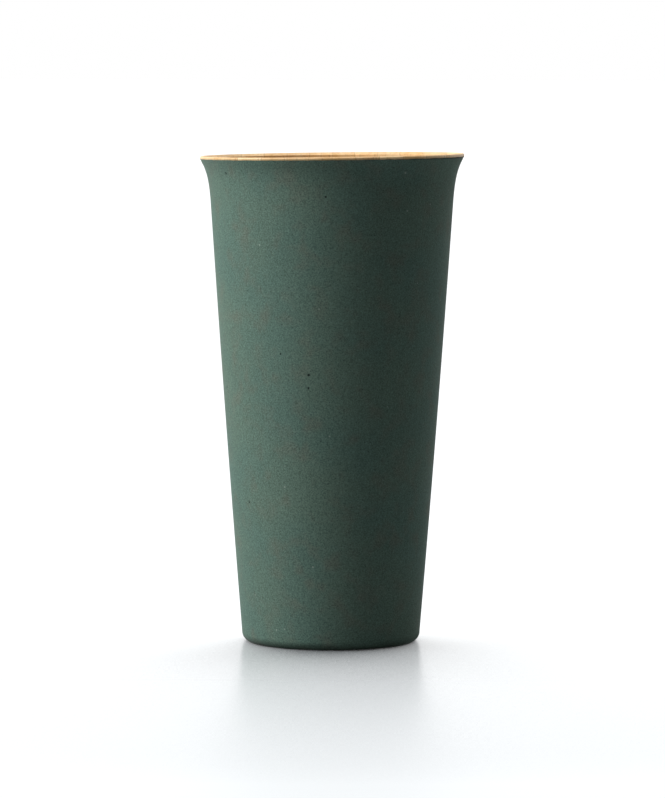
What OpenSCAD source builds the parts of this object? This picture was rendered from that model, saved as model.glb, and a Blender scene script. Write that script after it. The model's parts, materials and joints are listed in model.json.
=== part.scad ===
// Tall bamboo cup with a flared lip.
// The cup is turned from a block of bamboo strips glued face to face, grain upright.
// A coloured lacquer covers the outside wall and stops just under the bare lip.
// Origin: centre of the foot on the table. +Z is up, and the front faces -Y.

/* [Cup] */
// Height from the table to the top of the lip
cup_h = 148.3; // [130:0.1:170]
// Diameter across the bare lip
rim_d = 80; // [77:0.5:88]
// Lean of the straight wall away from upright, in degrees
wall_taper = 4.24; // [1:0.01:6]
// How far the lip stands out past the wall where the flare begins
flare_out = 3.5; // [2:0.1:6]
// How far below the top of the lip the flare begins
flare_h = 15; // [10:0.5:25]
// Lean of the lip's end away from upright, in degrees
lip_lean = 34; // [20:1:45]
// How far the wall swells outward at half its height
wall_bow = 0.27; // [0:0.01:1]
// Radius of the rounded corner between wall and foot
corner_r = 2.8; // [1.5:0.1:5]

/* [Bamboo wall] */
// Thickness of the wall, measured level
wall_t = 2.4; // [1.6:0.1:4]
// Thickness of the lip, which ends in a full round
lip_t = 1.1; // [0.8:0.1:1.5]
// Height of the floor inside the cup above the table
floor_h = 4; // [3:0.1:10]
// Radius of the fillet between floor and wall inside
floor_fillet_r = 5; // [2:0.5:12]
// Width of the flat ring that the cup stands on
foot_w = 5.5; // [3:0.5:12]
// Depth of the hollow turned into the underside
hollow_depth = 0.8; // [0.3:0.1:1.5]
// Radius of the lathe centre's dimple under the foot
dimple_r = 1.6; // [1:0.1:3]
// Depth of that dimple
dimple_depth = 0.5; // [0.2:0.1:1]

/* [Bamboo block] */
// Bamboo turned away at the sides of the block, past the lip
turning_allowance = 2; // [1:0.5:4]
// Strips side by side across the block
strips_across = 12; // [8:1:14]
// Boards of strips from the middle of the block to its front, and again to its back
boards = 2; // [1:1:2]

/* [Lacquer] */
// Thickness of the lacquer
coat_t = 0.2; // [0.1:0.01:0.4]
// Thickness of the lacquer where it is rubbed back at the bare lip
coat_edge_t = 0.05; // [0.02:0.01:0.1]
// Height of the lacquer's lower edge above the table
coat_gap = 0.1; // [0.05:0.05:1]

/* [Hidden] */
rim_r = rim_d / 2;
shoulder_r = rim_r - flare_out;
shoulder_h = cup_h - flare_h;
// Radius at which the line of the straight wall meets the table
base_r = shoulder_r - shoulder_h * tan(wall_taper);
lip_r = lip_t / 2;

// How straight the flare leaves the wall and meets the lip, as shares of its chord
flare_start_share = 0.5;
flare_end_share = 0.25;

// Straight steps along the wall, the flare and the round corners
wall_steps = 9;
flare_steps = 11;
lip_steps = 10;
corner_steps = 9;
// Sides of the turned solids
turn_sides = 180;

// The block of glued strips: its half width, and the thickness and width of one strip
block_half = rim_r + turning_allowance;
strip_t = 2 * block_half / strips_across;
strip_w = block_half / boards;
// Overrun of the cutting blocks past the blank
over = 5;
// The two halves of the block: which way each lies along Y, and its name
sides = [[-1, "front"], [1, "back"]];

// A point at a distance from another, in a direction given by its angle
function polar(centre, radius, angle) = centre + radius * [cos(angle), sin(angle)];

// The outline of a turned form is a list of stations, each [point, angle of its outward normal].
function points(stations, offset = 0) = [for (s = stations) polar(s[0], offset, s[1])];

// An arc as stations. Its outward normal points away from the centre.
function arc(centre, radius, from, to, steps) =
    [for (i = [0:steps]) let (a = from + (to - from) * i / steps) [polar(centre, radius, a), a]];

// The bamboo wall at a share of the way from the table up to the shoulder, set in by a thickness
function wall_lean(t) = atan((shoulder_r - base_r + 4 * wall_bow * (1 - 2 * t)) / shoulder_h);
function wall_r(t) = base_r + (shoulder_r - base_r) * t + 4 * wall_bow * t * (1 - t);
function wall(inset = 0) =
    [for (i = [1:wall_steps - 1]) let (t = i / wall_steps)
        [[wall_r(t) - inset, shoulder_h * t], -wall_lean(t)]];

// A cubic curve from the shoulder to one side of the lip, leaving and arriving along both leans
function flare(from, to) = let (
        chord = norm(to - from),
        a = polar(from, chord * flare_start_share, 90 - wall_lean(1)),
        b = polar(to, -chord * flare_end_share, 90 - lip_lean))
    [for (i = [0:flare_steps - 1]) let (
            u = i / flare_steps,
            v = 1 - u,
            slope = 3 * v * v * (a - from) + 6 * v * u * (b - a) + 3 * u * u * (to - b))
        [v * v * v * from + 3 * v * v * u * a + 3 * v * u * u * b + u * u * u * to,
            atan2(slope.y, slope.x) - 90]];

function reversed(list) = [for (i = [len(list) - 1:-1:0]) list[i]];

// Outside of the bamboo: corner, wall and flare, up to where the lip's round begins
lip_centre = [rim_r - lip_r, cup_h - lip_r];
lip_out = polar(lip_centre, lip_r, -lip_lean);
lip_in = polar(lip_centre, lip_r, 180 - lip_lean);
corner_share = corner_r / shoulder_h;
corner_centre = [wall_r(corner_share) - corner_r / cos(wall_lean(corner_share)), corner_r];
outside = concat(
    arc(corner_centre, corner_r, -90, -wall_lean(corner_share), corner_steps),
    wall(),
    flare([shoulder_r, shoulder_h], lip_out),
    [[lip_out, -lip_lean]]);

// Inside of the bamboo, from the lip down to the floor
fillet_share = (floor_h + floor_fillet_r) / shoulder_h;
fillet_centre = [
    wall_r(fillet_share) - wall_t - floor_fillet_r / cos(wall_lean(fillet_share)),
    floor_h + floor_fillet_r];
inside = concat(
    reversed(flare([shoulder_r - wall_t, shoulder_h], lip_in)),
    reversed([for (s = wall(wall_t)) if (s[0].y > fillet_centre.y) s]),
    arc(fillet_centre, floor_fillet_r, -wall_lean(fillet_share), -90, corner_steps));

// Underside: the ring on the table, the hollow with its round edge, and the dimple
ring_in_r = corner_centre.x - foot_w;
underside = concat(
    [[[0, hollow_depth + dimple_depth], -90]],
    [[[dimple_r, hollow_depth], -90]],
    arc([ring_in_r - hollow_depth, 0], hollow_depth, 90, 0, corner_steps));

// A board has as many strips as the lip needs to span it where it is widest, centred on the axis
function half_chord(board) = sqrt(pow(rim_r, 2) - pow((board - 1) * strip_w, 2));
function strip_count(board) = ceil(2 * half_chord(board) / strip_t);

function two_digits(n) = str(n < 10 ? "0" : "", n);
function strip_name(side, board, i) = str(side[1], "_board_", board, "_strip_", two_digits(i));

// The whole turned cup, before it is told apart into strips
module turned_bamboo() {
    rotate_extrude($fn = turn_sides)
        polygon(concat(
            points(underside),
            points(outside),
            points(arc(lip_centre, lip_r, -lip_lean, 180 - lip_lean, lip_steps)),
            points(inside),
            [[0, floor_h]]));
}

// The room of one strip in the glued block. The outermost strips and boards have no far side.
module strip_room(side, board, i) {
    count = strip_count(board);
    reach = block_half + over;
    left = i == 1 ? -reach : (i - 1 - count / 2) * strip_t;
    right = i == count ? reach : (i - count / 2) * strip_t;
    near = (board - 1) * strip_w;
    far = board == boards ? reach : board * strip_w;
    translate([left, side[0] > 0 ? near : -far, -over])
        cube([right - left, far - near, cup_h + 2 * over]);
}

// One strip of the cup: what the lathe left of it
module bamboo_strip(side, board, i) {
    color((i + board) % 2 == 0 ? "burlywood" : "tan")
        intersection() {
            turned_bamboo();
            strip_room(side, board, i);
        }
}

// The lacquer: a skin on the outside, from just above the table to the edge of the bare lip
module green_lacquer_coat() {
    foot_angle = -asin((corner_r - coat_gap) / (corner_r + coat_t));
    skin = concat(
        arc(corner_centre, corner_r, foot_angle, -wall_lean(corner_share), corner_steps),
        wall(),
        flare([shoulder_r, shoulder_h], lip_out));
    lip_edge = [[lip_out, -lip_lean]];
    color("darkslategray")
        rotate_extrude($fn = turn_sides)
            polygon(concat(
                points(skin, coat_t),
                points(lip_edge, coat_edge_t),
                reversed(points(concat(skin, lip_edge)))));
}

green_lacquer_coat();
for (side = sides, board = [1:boards], i = [1:strip_count(board)])
    bamboo_strip(side, board, i);
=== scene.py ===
"""Looks of a tall bamboo cup: green lacquer outside, bare bamboo lip and inside, on a pale floor."""
import json
import math
import bmesh
import bpy
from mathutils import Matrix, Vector, noise


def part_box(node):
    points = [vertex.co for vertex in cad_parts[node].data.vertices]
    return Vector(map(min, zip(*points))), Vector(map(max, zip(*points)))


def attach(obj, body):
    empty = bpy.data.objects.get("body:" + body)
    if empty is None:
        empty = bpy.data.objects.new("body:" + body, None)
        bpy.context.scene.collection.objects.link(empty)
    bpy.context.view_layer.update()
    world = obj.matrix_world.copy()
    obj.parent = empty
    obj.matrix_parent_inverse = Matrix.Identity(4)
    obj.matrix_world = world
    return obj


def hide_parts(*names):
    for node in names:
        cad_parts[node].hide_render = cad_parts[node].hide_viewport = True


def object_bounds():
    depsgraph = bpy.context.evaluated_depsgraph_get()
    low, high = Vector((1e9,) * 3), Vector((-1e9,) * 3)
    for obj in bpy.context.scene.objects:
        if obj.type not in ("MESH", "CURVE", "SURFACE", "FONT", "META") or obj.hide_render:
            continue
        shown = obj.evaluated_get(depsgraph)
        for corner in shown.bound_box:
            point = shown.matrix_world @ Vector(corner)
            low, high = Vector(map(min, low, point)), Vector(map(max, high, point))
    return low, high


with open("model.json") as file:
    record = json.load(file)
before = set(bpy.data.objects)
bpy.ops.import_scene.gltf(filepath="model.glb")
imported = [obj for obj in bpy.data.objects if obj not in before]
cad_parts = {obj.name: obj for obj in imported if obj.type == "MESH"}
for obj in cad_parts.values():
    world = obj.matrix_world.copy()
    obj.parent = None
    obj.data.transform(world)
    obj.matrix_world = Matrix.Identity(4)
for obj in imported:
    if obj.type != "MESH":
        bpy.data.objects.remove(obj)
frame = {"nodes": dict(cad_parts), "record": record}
cad_low, cad_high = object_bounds()

MM = 0.001

# Outline of the cup, as in the part's source. The height and the lip's width come from the frame.
cup_h = cad_high.z
rim_r = cad_high.x
wall_taper = 4.24
flare_out = 3.5 * MM
flare_h = 15 * MM
lip_lean = 34
wall_bow = 0.27 * MM
corner_r = 2.8 * MM
wall_t = 2.4 * MM
lip_t = 1.1 * MM
floor_h = 4 * MM
floor_fillet_r = 5 * MM
foot_w = 5.5 * MM
hollow_depth = 0.8 * MM
dimple_r = 1.6 * MM
dimple_depth = 0.5 * MM
coat_t = 0.2 * MM
coat_edge_t = 0.05 * MM
coat_gap = 0.1 * MM
flare_start_share = 0.5
flare_end_share = 0.25

# Inside, the lip has a chamfer: how deep it reaches, its lean, and the lean of the wall below it
chamfer_h = 0.8 * MM
chamfer_lean = 55
inner_lean = 6

# How finely the forms are turned, how near the axis a point counts as on it, and the sharpest
# edge that is shaded smooth, in degrees
turn_steps = 288
wall_steps = 16
flare_steps = 22
lip_steps = 12
corner_steps = 10
on_axis = 1e-6 * MM
smooth_below = 35

# The lacquer thins out towards its upper edge, which the brush left ragged: length of the thinning,
# depth and length of the waves, their mean, and how much finer and lower the ripples on them are
thinning_l = 1.4 * MM
ragged_l = 0.1 * MM
ragged_wave = 3 * MM
ragged_mean = 0.5
ripples = 4
ripple_share = 0.5

# How much lower the hand-finished lip is at the left than at the right, and how deep that reaches
lip_drop = 1.1 * MM
lip_drop_reach = 30 * MM

# The grid of glued strips, read from a strip of the inner front board next to the axis, and the
# overrun of the outermost strips past the lip
strip_low, strip_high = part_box("front_board_1_strip_06")
strip_t = strip_high.x - strip_low.x
strip_w = strip_high.y - strip_low.y
over = 5 * MM

# Colours of the lacquer: two greens and a rusty tinge, then its pits and specks, the shade painted
# on the foot's corner, and its edge on the lip
lacquer_green = (0.113, 0.188, 0.154, 1)
lacquer_warm = (0.120, 0.186, 0.147, 1)
lacquer_rust = (0.142, 0.166, 0.131, 1)
lacquer_pit = (0.020, 0.032, 0.028, 1)
lacquer_speck = (0.36, 0.44, 0.38, 1)
painted_foot_shade = (0.026, 0.040, 0.026, 1)
lacquer_edge = (0.032, 0.030, 0.015, 1)

# The lacquer darkens to a brown near its upper edge: how far under its end that starts and is
# full. Painted shade darkens the corner at the foot, where it meets the table, up to a height.
dark_edge_start = 0.7 * MM
dark_edge_full = 0.2 * MM
painted_foot_shade_h = 3.2 * MM

# Pits and pale specks seen in the front of the lacquer, each with its turn from the front in degrees,
# its height and its radius in millimetres, and the share of the radius that is in full colour
front_pits = [
    (-11.7, 83.1, 0.5), (-11.9, 79.2, 0.4), (-54.2, 43.8, 0.4),
    (-55.8, 142.6, 0.5), (-2.8, 136.0, 0.4), (-26.7, 89.2, 0.35), (1.7, 147.0, 0.5)]
front_specks = [
    (34.7, 143.0, 0.4), (37.7, 131.7, 0.35), (-36.7, 121.5, 0.35),
    (-26.9, 49.3, 0.35), (-10.8, 25.4, 0.35), (-36.7, 5.7, 0.35)]
spot_core = 0.5

# Shifts in millimetres that keep the lacquer's patterns from following each other
rust_shift = (11, 3, 7)
pit_shift = (5, 9, 4)
pore_shift = (7, 41, 23)
speck_shift = (31, 17, 53)

# Colours of bare bamboo: the lighter and the darker bands of each finish, then what is darker still
bamboo_tones = {
    "pale_bamboo": ((0.80, 0.57, 0.30, 1), (0.73, 0.475, 0.225, 1)),
    "honey_bamboo": ((0.77, 0.525, 0.26, 1), (0.69, 0.42, 0.185, 1)),
    "tan_bamboo": ((0.73, 0.475, 0.225, 1), (0.64, 0.385, 0.15, 1))}
bundle_brown = (0.30, 0.15, 0.055, 1)
knuckle_brown = (0.26, 0.12, 0.045, 1)
glue_brown = (0.20, 0.10, 0.045, 1)

# How far at most each strip's grain is shifted at random, in millimetres
grain_shift = (90, 90, 400)

# Knuckles of the canes lie anywhere up to a height above the cup's, so only some strips show one.
# Each wavers up and down by a little.
knuckle_reach = 330 * MM
knuckle_waver = 1.5 * MM

# Rings that the lathe tool leaves on the floor inside and on the underside: their pitch, and the
# heights above the floor between which they fade
lathe_pitch = 0.45 * MM
rings_full = 0.1 * MM
rings_gone = 1.2 * MM

# The table under the cup: half its width, how far it lies under the foot, its colour, and the tint
# and strength of what lifts it to white for the camera
table_reach = 60
table_gap = 0.02 * MM
table_colour = (0.179, 0.19, 0.2, 1)
table_tint = (0.97, 0.99, 1, 1)
table_glow = 0.67

# How far the cup shades the table from the backdrop, and how strongly
shade_reach = 250 * MM
shade_power = 0.88

# Roughness of the table at the cup and in front of it, and the places between which it grows
rough_at_cup = 0.25
rough_in_front = 0.48
rough_start = -40 * MM
rough_end = -300 * MM

# The share of the white surroundings that lights the object
ambient = 0.03

# The photograph's camera
camera_at = Vector((0.05, -1362.5, 173.8)) * MM
camera_pitch = 85.795
camera_roll = -0.15
camera_lens = 202.9
camera_sensor = 36

# Outline of the turned form


def polar(centre, radius, angle):
    """A point at a distance from another, in a direction given in degrees."""
    return centre + radius * Vector((math.cos(math.radians(angle)), math.sin(math.radians(angle))))


def arc(centre, radius, start, end, steps):
    """An arc as stations: points, each with the angle of its outward normal."""
    angles = [start + (end - start) * i / steps for i in range(steps + 1)]
    return [(polar(centre, radius, a), a) for a in angles]


def points(stations):
    """The points of stations alone, as an outline."""
    return [place for place, _ in stations]


shoulder_r = rim_r - flare_out
shoulder_h = cup_h - flare_h
base_r = shoulder_r - shoulder_h * math.tan(math.radians(wall_taper))
lip_r = lip_t / 2


def wall_lean(t):
    """Lean of the wall in degrees, at a share of the way from the table up to the shoulder."""
    rise = shoulder_r - base_r + 4 * wall_bow * (1 - 2 * t)
    return math.degrees(math.atan(rise / shoulder_h))


def wall_r(t):
    """Radius of the wall's outside, at the same share."""
    return base_r + (shoulder_r - base_r) * t + 4 * wall_bow * t * (1 - t)


def wall(inset=0.0):
    """Stations of the wall between foot and shoulder, set in by a thickness."""
    shares = [i / wall_steps for i in range(1, wall_steps)]
    return [(Vector((wall_r(t) - inset, shoulder_h * t)), -wall_lean(t)) for t in shares]


def flare(start, end, end_lean):
    """A cubic curve from the shoulder to one side of the lip, between the wall's lean and another."""
    chord = (end - start).length
    a = polar(start, chord * flare_start_share, 90 - wall_lean(1))
    b = polar(end, -chord * flare_end_share, 90 - end_lean)
    made = []
    for i in range(flare_steps):
        u = i / flare_steps
        v = 1 - u
        slope = 3 * v * v * (a - start) + 6 * v * u * (b - a) + 3 * u * u * (end - b)
        place = v ** 3 * start + 3 * v * v * u * a + 3 * v * u * u * b + u ** 3 * end
        made.append((place, math.degrees(math.atan2(slope.y, slope.x)) - 90))
    return made


lip_centre = Vector((rim_r - lip_r, cup_h - lip_r))
lip_out = polar(lip_centre, lip_r, -lip_lean)
chamfer_top = polar(lip_centre, lip_r, 180 - chamfer_lean)
chamfer_drop = chamfer_top.y - (cup_h - chamfer_h)
lip_in = chamfer_top - chamfer_drop * Vector((math.tan(math.radians(chamfer_lean)), 1))
corner_share = corner_r / shoulder_h
corner_lean = wall_lean(corner_share)
corner_centre = Vector((
    wall_r(corner_share) - corner_r / math.cos(math.radians(corner_lean)), corner_r))
fillet_share = (floor_h + floor_fillet_r) / shoulder_h
fillet_lean = wall_lean(fillet_share)
fillet_centre = Vector((
    wall_r(fillet_share) - wall_t - floor_fillet_r / math.cos(math.radians(fillet_lean)),
    floor_h + floor_fillet_r))
hollow_edge = Vector((corner_centre.x - foot_w - hollow_depth, 0))

underside = [
    (Vector((0, hollow_depth + dimple_depth)), -90),
    (Vector((dimple_r, hollow_depth)), -90),
    *arc(hollow_edge, hollow_depth, 90, 0, corner_steps)]
outside = [
    *arc(corner_centre, corner_r, -90, -corner_lean, corner_steps),
    *wall(),
    *flare(Vector((shoulder_r, shoulder_h)), lip_out, lip_lean)]
lip = [
    *arc(lip_centre, lip_r, -lip_lean, 180 - chamfer_lean, lip_steps),
    (lip_in, 180 - inner_lean)]
inside = [
    *reversed(flare(Vector((shoulder_r - wall_t, shoulder_h)), lip_in, inner_lean)),
    *[s for s in reversed(wall(wall_t)) if s[0].y > fillet_centre.y],
    *arc(fillet_centre, floor_fillet_r, -fillet_lean, -90, corner_steps),
    (Vector((0, floor_h)), 90)]


def outside_r(height):
    """Radius of the bamboo's outside at a height."""
    for (low, _), (high, _) in zip(outside, outside[1:]):
        if low.y <= height <= high.y:
            return low.x + (high.x - low.x) * (height - low.y) / (high.y - low.y)
    return rim_r


# Meshes and objects


def turned(name, outline, closed=False):
    """A mesh turned about Z. An outline that starts and ends on the axis gives a closed solid."""
    form = bmesh.new()
    turns = [2 * math.pi * k / turn_steps for k in range(turn_steps)]
    rings = []
    for place in outline:
        if place.x < on_axis:
            rings.append([form.verts.new((0, 0, place.y))] * turn_steps)
            continue
        rings.append([
            form.verts.new((place.x * math.cos(a), place.x * math.sin(a), place.y)) for a in turns])
    for lower, upper in zip(rings, rings[1:] + rings[:1] if closed else rings[1:]):
        for k in range(turn_steps):
            n = (k + 1) % turn_steps
            corners = [lower[k], lower[n], upper[n], upper[k]]
            form.faces.new(dict.fromkeys(corners))
    bmesh.ops.recalc_face_normals(form, faces=form.faces)
    mesh = bpy.data.meshes.new(name)
    form.to_mesh(mesh)
    form.free()
    return mesh


def placed(name, data):
    """A new object of the scene from its data."""
    made = bpy.data.objects.new(name, data)
    bpy.context.scene.collection.objects.link(made)
    return made


def lowered(x, height):
    """How far the hand finish lets down a place: most at the lip's left, nothing at its right."""
    rise = max(0, (height - cup_h) / lip_drop_reach + 1)
    return lip_drop * (1 - x / rim_r) / 2 * rise * rise


def finish_by_hand(mesh):
    """Lets the lip down towards the left, as the real one is slightly out of true, and smooths."""
    for v in mesh.vertices:
        v.co.z -= lowered(v.co.x, v.co.z)
    mesh.shade_smooth()
    mesh.set_sharp_from_angle(angle=math.radians(smooth_below))


# Nodes of the materials, which measure in millimetres


def add(tree, kind, inputs=None, **settings):
    """A new node with its settings. Each input is a value or the socket that it is linked to."""
    made = tree.nodes.new(kind)
    for name, value in settings.items():
        setattr(made, name, value)
    for key, value in (inputs or {}).items():
        if isinstance(value, bpy.types.NodeSocket):
            tree.links.new(value, made.inputs[key])
        else:
            made.inputs[key].default_value = value
    return made


def calc(tree, operation, a, b=0.0, c=0.0, clamp=False):
    inputs = {0: a, 1: b, 2: c}
    return add(tree, "ShaderNodeMath", inputs, operation=operation, use_clamp=clamp).outputs[0]


def product(tree, value, *factors):
    for factor in factors:
        value = calc(tree, "MULTIPLY", value, factor)
    return value


def strongest(tree, value, *others):
    for other in others:
        value = calc(tree, "MAXIMUM", value, other)
    return value


def between(tree, share, low, high):
    """Low where the share is 0, high where it is 1."""
    return calc(tree, "MULTIPLY_ADD", share, high - low, low)


def varied(tree, share, contrast):
    """A factor about 1, from a share about 0.5."""
    return between(tree, share, 1 - contrast / 2, 1 + contrast / 2)


def remap(tree, value, start, end, low=0.0, high=1.0):
    """A smooth step: low at start, high at end."""
    inputs = {"Value": value, 1: start, 2: end, 3: low, 4: high}
    return add(tree, "ShaderNodeMapRange", inputs, interpolation_type="SMOOTHSTEP").outputs[0]


def off_whole(tree, value):
    """How far a value is from the nearest whole number."""
    return calc(tree, "PINGPONG", value, 0.5)


def mix(tree, share, a, b, blend="MIX"):
    inputs = {0: share, 6: a, 7: b}
    return add(tree, "ShaderNodeMix", inputs, data_type="RGBA", blend_type=blend).outputs[2]


def covered(tree, tone, colour, share, cover=1.0):
    """A tone with a colour laid over it, as much as the cover says where the share is 1."""
    return mix(tree, calc(tree, "MULTIPLY", share, cover), tone, colour)


def dimmed(tree, tone, level):
    """A tone made lighter or darker by a factor."""
    grey = add(tree, "ShaderNodeCombineColor", {0: level, 1: level, 2: level}).outputs[0]
    return mix(tree, 1.0, tone, grey, "MULTIPLY")


def scaled(tree, vector, factors):
    inputs = {0: vector, 1: factors}
    return add(tree, "ShaderNodeVectorMath", inputs, operation="MULTIPLY").outputs[0]


def moved(tree, vector, offset):
    inputs = {0: vector, 1: offset}
    return add(tree, "ShaderNodeVectorMath", inputs, operation="ADD").outputs[0]


def drawn_up(tree, place, height_share, depth_share=1):
    """A place whose height and depth count for less, so that a pattern is longer along them."""
    return scaled(tree, place, (1, depth_share, height_share))


def clouds(tree, place, size, detail=2, roughness=0.5):
    """Noise about 0.5 whose blobs are about that size."""
    inputs = {"Vector": place, "Scale": 1 / size, "Detail": detail, "Roughness": roughness}
    return add(tree, "ShaderNodeTexNoise", inputs).outputs[0]


def scattered(tree, place, apart, core, edge, strength=1.0):
    """Scattered round marks: as strong as given up to the core radius, and nothing past the edge."""
    gap = add(tree, "ShaderNodeTexVoronoi", {"Vector": place, "Scale": 1 / apart}).outputs["Distance"]
    return remap(tree, gap, start=core / apart, end=edge / apart, low=strength, high=0)


def bump(tree, height, depth, under=None):
    """The normal of a relief that deep, laid over another one."""
    inputs = {"Height": height, "Distance": depth * MM, "Strength": 1.0}
    if under:
        inputs["Normal"] = under
    return add(tree, "ShaderNodeBump", inputs).outputs[0]


def new_material(name, **constants):
    """A material, its node tree, its shader, and the place on the object."""
    made = bpy.data.materials.new(name)
    made.use_nodes = True
    tree = made.node_tree
    shader = tree.nodes["Principled BSDF"]
    for key, value in constants.items():
        shader.inputs[key.replace("_", " ")].default_value = value
    place = add(tree, "ShaderNodeTexCoord").outputs["Object"]
    return made, tree, shader, scaled(tree, place, (1 / MM, 1 / MM, 1 / MM))


def seen_directly(tree):
    """1 for what the camera sees, also in reflections and through glass."""
    path = add(tree, "ShaderNodeLightPath").outputs
    return strongest(tree, path["Is Camera Ray"], path["Is Glossy Ray"], path["Is Transmission Ray"])


def spots(tree, place, marks):
    """1 in each marked spot of the lacquer's outside, 0 elsewhere."""
    found = []
    for turn, height, radius in marks:
        around = math.radians(turn)
        sideways = outside_r(height * MM) * math.sin(around)
        out = (outside_r(height * MM + lowered(sideways, height * MM)) + coat_t) / MM
        centre = (out * math.sin(around), -out * math.cos(around), height)
        gap = add(tree, "ShaderNodeVectorMath", {0: place, 1: centre}, operation="DISTANCE")
        found.append(remap(tree, gap.outputs["Value"], radius * spot_core, radius, low=1, high=0))
    return strongest(tree, *found)


# Materials


def lacquer():
    """Matte lacquer: fine grain, soft mottling, sparse pits and specks, fibres showing through."""
    made, tree, shader, place = new_material(
        "green_lacquer", IOR=1.5, Specular_IOR_Level=0.04, Sheen_Weight=0.1, Sheen_Roughness=0.4)
    grain = clouds(tree, place, size=0.42, roughness=0.7)
    mottle = clouds(tree, place, size=24, detail=3)
    fibre = clouds(tree, drawn_up(tree, place, height_share=0.03), size=0.8)
    rust = clouds(tree, moved(tree, place, rust_shift), size=6, detail=3)
    pits = scattered(tree, moved(tree, place, pit_shift), apart=16, core=0.24, edge=0.432)
    pores = scattered(
        tree, moved(tree, place, pore_shift), apart=1.7, core=0.119, edge=0.221, strength=0.45)
    specks = scattered(tree, moved(tree, place, speck_shift), apart=8, core=0.144, edge=0.288)
    pit = strongest(tree, pits, pores, spots(tree, place, front_pits))
    speck = strongest(tree, specks, spots(tree, place, front_specks))
    tone = mix(tree, remap(tree, mottle, start=0.35, end=0.65), lacquer_green, lacquer_warm)
    tone = mix(tree, remap(tree, rust, start=0.45, end=0.75, high=0.6), tone, lacquer_rust)
    level = product(
        tree, varied(tree, grain, contrast=1.8), varied(tree, mottle, contrast=0.16),
        varied(tree, fibre, contrast=0.12))
    tone = dimmed(tree, tone, level)
    tone = covered(tree, tone, lacquer_pit, pit)
    tone = covered(tree, tone, lacquer_speck, speck, cover=0.6)
    height = add(tree, "ShaderNodeSeparateXYZ", {0: place}).outputs["Z"]
    # The lacquer darkens to a brown near its upper edge, under the bare lip
    dark_edge_share = remap(tree, height, (lip_out.y - dark_edge_start) / MM, (lip_out.y - dark_edge_full) / MM)
    tone = covered(tree, tone, lacquer_edge, dark_edge_share, cover=0.7)
    # Painted shade: the lacquer darkens towards the foot, where it meets the table
    painted_shade_share = remap(tree, height, start=0, end=painted_foot_shade_h / MM, low=1, high=0)
    tone = covered(tree, tone, painted_foot_shade, painted_shade_share, cover=0.6)
    tree.links.new(tone, shader.inputs["Base Color"])
    tree.links.new(between(tree, grain, low=0.6, high=0.8), shader.inputs["Roughness"])
    relief = bump(tree, grain, depth=0.02)
    relief = bump(tree, fibre, depth=0.012, under=relief)
    relief = bump(tree, calc(tree, "SUBTRACT", 1, pit), depth=0.08, under=relief)
    tree.links.new(relief, shader.inputs["Normal"])
    return made


def bamboo(name, light, dark, seed):
    """Clear-coated bamboo with upright fibres, drawn through the solid so that ends and sides agree."""
    made, tree, shader, place = new_material(
        name, IOR=1.5, Specular_IOR_Level=0.3, Coat_Weight=0.12, Coat_Roughness=0.25)
    axes = add(tree, "ShaderNodeSeparateXYZ", {0: place}).outputs
    across = calc(tree, "DIVIDE", axes["X"], strip_t / MM)
    deep = calc(tree, "DIVIDE", axes["Y"], strip_w / MM)
    strip = add(tree, "ShaderNodeCombineXYZ", {
        0: calc(tree, "FLOOR", across),
        1: calc(tree, "FLOOR", deep),
        2: seed})
    chance = add(tree, "ShaderNodeTexWhiteNoise", {"Vector": strip.outputs[0]}).outputs
    own = moved(tree, place, scaled(tree, chance["Color"], grain_shift))
    # Fibre bundles: dots on the ends, long streaks on the sides, and more of them towards the skin
    bundles = scattered(
        tree, drawn_up(tree, own, height_share=0.012), apart=0.95, core=0.152, edge=0.399)
    skin_side = remap(tree, calc(tree, "FRACT", across), start=0, end=0.9, low=0.35)
    fine = clouds(tree, drawn_up(tree, own, height_share=0.02), size=0.22, detail=3, roughness=0.6)
    band = clouds(tree, drawn_up(tree, own, height_share=0.01, depth_share=0.6), size=2.6)
    patch = clouds(tree, drawn_up(tree, own, height_share=0.3), size=12)
    tone = mix(tree, remap(tree, band, start=0.3, end=0.7), light, dark)
    tone = covered(tree, tone, bundle_brown, product(tree, bundles, skin_side), cover=0.42)
    level = product(
        tree, varied(tree, fine, contrast=0.34), varied(tree, patch, contrast=0.2),
        between(tree, chance["Value"], low=0.9, high=1.06))
    # Knuckle of the cane: a thin dark ring across some strips
    waver = between(tree, band, low=-knuckle_waver / MM, high=knuckle_waver / MM)
    ring = product(tree, chance["Value"], knuckle_reach / MM)
    from_ring = calc(tree, "SUBTRACT", calc(tree, "ADD", axes["Z"], waver), ring)
    knuckle = remap(tree, calc(tree, "ABSOLUTE", from_ring), start=0.5, end=1.6, low=1, high=0)
    tone = covered(tree, tone, knuckle_brown, knuckle, cover=0.45)
    # Glue lines between neighbouring strips and boards
    to_strip = product(tree, off_whole(tree, across), strip_t / MM)
    to_board = product(tree, off_whole(tree, deep), strip_w / MM)
    to_joint = calc(tree, "MINIMUM", to_strip, to_board)
    glue = remap(tree, to_joint, start=0.03, end=0.12, low=1, high=0)
    tone = covered(tree, tone, glue_brown, glue, cover=0.5)
    tree.links.new(dimmed(tree, tone, level), shader.inputs["Base Color"])
    tree.links.new(between(tree, fine, low=0.36, high=0.56), shader.inputs["Roughness"])
    # Fine rings left by the lathe tool on the underside and on the floor inside
    flat = add(tree, "ShaderNodeVectorMath", {0: scaled(tree, place, (1, 1, 0))}, operation="LENGTH")
    groove = calc(tree, "SINE", product(tree, flat.outputs["Value"], 2 * math.pi * MM / lathe_pitch))
    low_down = remap(
        tree, axes["Z"], (floor_h + rings_full) / MM, (floor_h + rings_gone) / MM, low=1, high=0)
    relief = bump(tree, fine, depth=0.015)
    relief = bump(tree, calc(tree, "SUBTRACT", 1, glue), depth=0.02, under=relief)
    relief = bump(tree, product(tree, groove, low_down), depth=0.012, under=relief)
    tree.links.new(relief, shader.inputs["Normal"])
    return made


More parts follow.
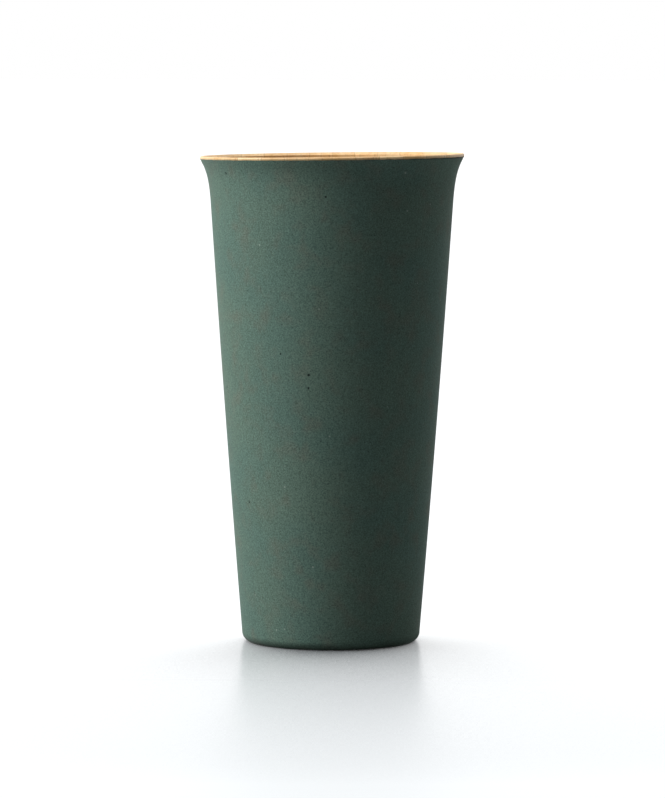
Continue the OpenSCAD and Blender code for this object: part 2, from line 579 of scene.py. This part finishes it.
def table_material():
    """Half glossy. What the camera sees of it is lifted to white, and less in front of the cup, which
    shades it from the bright backdrop behind."""
    made, tree, shader, _ = new_material(
        "white_floor", IOR=1.5, Specular_IOR_Level=0.42,
        Base_Color=table_colour, Emission_Color=table_tint)
    backward = add(tree, "ShaderNodeCombineXYZ", {1: 1.0}).outputs[0]
    inputs = {"Distance": shade_reach, "Normal": backward}
    open_share = add(tree, "ShaderNodeAmbientOcclusion", inputs, samples=8).outputs["AO"]
    # Half of the directions looked at lie below the table, where nothing shades
    above = calc(tree, "MULTIPLY_ADD", open_share, 2.0, -1.0, clamp=True)
    shade = calc(tree, "POWER", above, shade_power)
    glow = product(tree, seen_directly(tree), product(tree, shade, table_glow))
    tree.links.new(glow, shader.inputs["Emission Strength"])
    # The reflection of the cup fades with the distance in front of it
    spot = add(tree, "ShaderNodeNewGeometry").outputs["Position"]
    depth = add(tree, "ShaderNodeSeparateXYZ", {0: spot}).outputs["Y"]
    rough = remap(tree, depth, rough_end, rough_start, low=rough_in_front, high=rough_at_cup)
    tree.links.new(rough, shader.inputs["Roughness"])
    return made


# Pieces


def lacquer_coat():
    """The lacquer skin, thinned to a slightly ragged edge under the bare lip."""
    foot_angle = -math.degrees(math.asin((corner_r - coat_gap) / (corner_r + coat_t)))
    skin = [
        *arc(corner_centre, corner_r, foot_angle, -corner_lean, corner_steps),
        *wall(),
        *flare(Vector((shoulder_r, shoulder_h)), lip_out, lip_lean),
        (lip_out, -lip_lean)]
    outer = []
    for place, angle in skin:
        share = min(1, (lip_out - place).length / thinning_l)
        outer.append(polar(place, coat_edge_t + (coat_t - coat_edge_t) * share, angle))
    mesh = turned("green_lacquer_coat_skin", outer + points(reversed(skin)), closed=True)
    edge_low = cup_h - 2 * thinning_l
    for v in mesh.vertices:
        if v.co.z > edge_low:
            share = (v.co.z - edge_low) / (lip_out.y - edge_low)
            radial = Vector((v.co.x, v.co.y, 0)).normalized()
            spot = radial * (rim_r / ragged_wave)
            wave = noise.noise(spot) + ripple_share * noise.noise(ripples * spot)
            drop = ragged_l * max(0, ragged_mean + wave) * share
            v.co.z -= drop
            v.co -= radial * drop * math.tan(math.radians(lip_lean))
    finish_by_hand(mesh)
    return placed("green_lacquer_coat_skin", mesh)


def strip_room(node, count):
    """The room of one strip in the glued block, open past the outermost strips and boards."""
    side, _, board, _, index = node.split("_")
    board, index = int(board), int(index)
    reach = rim_r + over
    left = -reach if index == 1 else (index - 1 - count / 2) * strip_t
    right = reach if index == count else (index - count / 2) * strip_t
    near = (board - 1) * strip_w
    far = board * strip_w if f"{side}_board_{board + 1}_strip_01" in frame["nodes"] else reach
    front, back = (-far, -near) if side == "front" else (near, far)
    return Vector((left, front, -over)), Vector((right, back, cup_h + over))


def fill_room(mesh, low, high):
    """Makes a mesh the box between two corners."""
    form = bmesh.new()
    bmesh.ops.create_cube(form, size=1)
    for v in form.verts:
        v.co = Vector([low[i] if v.co[i] < 0 else high[i] for i in range(3)])
    form.to_mesh(mesh)
    form.free()
    mesh.update()


def bamboo_strips(finishes):
    """Each strip is what the turned blank leaves of its room in the block."""
    blank = placed("blank", turned("blank", points(underside + outside + lip + inside)))
    room = placed("room", bpy.data.meshes.new("room"))
    cut = blank.modifiers.new("cut", "BOOLEAN")
    cut.operation = "INTERSECT"
    cut.solver = "MANIFOLD"
    cut.object = room
    slots = {part["node"]: part["material_slot"] for part in frame["record"]["subparts"]}
    strips = sorted(n for n in frame["nodes"] if "_strip_" in n)
    for node in strips:
        count = sum(n.startswith(node[:-2]) for n in strips)
        fill_room(room.data, *strip_room(node, count))
        graph = bpy.context.evaluated_depsgraph_get()
        graph.update()
        mesh = bpy.data.meshes.new_from_object(blank.evaluated_get(graph), depsgraph=graph)
        mesh.name = node + "_wood"
        finish_by_hand(mesh)
        mesh.materials.clear()
        mesh.materials.append(finishes[slots[node]])
        strip = placed(node + "_wood", mesh)
        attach(strip, "root")
        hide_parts(node)
    bpy.data.objects.remove(blank)
    bpy.data.objects.remove(room)


# Studio


def studio_table():
    """The pale floor of the scene: one big square just under the foot."""
    mesh = bpy.data.meshes.new("floor")
    corners = [(-1, -1, 0), (1, -1, 0), (1, 1, 0), (-1, 1, 0)]
    mesh.from_pydata([table_reach * Vector(c) for c in corners], [], [(0, 1, 2, 3)])
    made = placed("floor", mesh)
    # Off to one side, so that the edge between its two triangles is far from the cup
    made.location = (table_reach / 3, 0, -table_gap)
    mesh.materials.append(table_material())


def softbox(name, azimuth, elevation, distance, width, power):
    """A square lamp aimed at the middle of the cup. Azimuth 0 is the camera's side, 90 the right."""
    middle = Vector((0, 0, cup_h / 2))
    a, e = math.radians(azimuth), math.radians(elevation)
    away = Vector((math.sin(a) * math.cos(e), -math.cos(a) * math.cos(e), math.sin(e)))
    lamp = bpy.data.lights.new(name, "AREA")
    lamp.shape = "SQUARE"
    lamp.size = width
    lamp.energy = power
    made = placed(name, lamp)
    made.location = middle + away * distance
    made.rotation_euler = away.to_track_quat("Z", "Y").to_euler()


def surroundings():
    """White to the camera and in reflections, and a low even light on the object."""
    world = bpy.data.worlds.new("studio")
    bpy.context.scene.world = world
    world.use_nodes = True
    tree = world.node_tree
    strength = between(tree, seen_directly(tree), low=ambient, high=1)
    tree.links.new(strength, tree.nodes["Background"].inputs["Strength"])
    tree.nodes["Background"].inputs["Color"].default_value = (1, 1, 1, 1)


def photo_camera():
    """The camera, where the photograph was taken from."""
    data = bpy.data.cameras.new("camera")
    data.lens = camera_lens
    data.sensor_width = camera_sensor
    made = placed("camera", data)
    made.location = camera_at
    made.rotation_euler = (math.radians(camera_pitch), math.radians(camera_roll), 0)
    bpy.context.scene.camera = made


photo_camera()
studio_table()
surroundings()
softbox("key", azimuth=-79, elevation=36, distance=1.3, width=0.8, power=20.8)
softbox("fill", azimuth=125, elevation=10, distance=1.6, width=0.6, power=2.3)
softbox("top", azimuth=180, elevation=86, distance=1.3, width=0.8, power=11.2)

coat = lacquer_coat()
coat.data.materials.append(lacquer())
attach(coat, "root")
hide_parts("green_lacquer_coat")

bamboo_strips({
    name: bamboo(name, light, dark, seed)
    for seed, (name, (light, dark)) in enumerate(bamboo_tones.items(), 1)})

scene = bpy.context.scene
scene.view_settings.view_transform = "Standard"
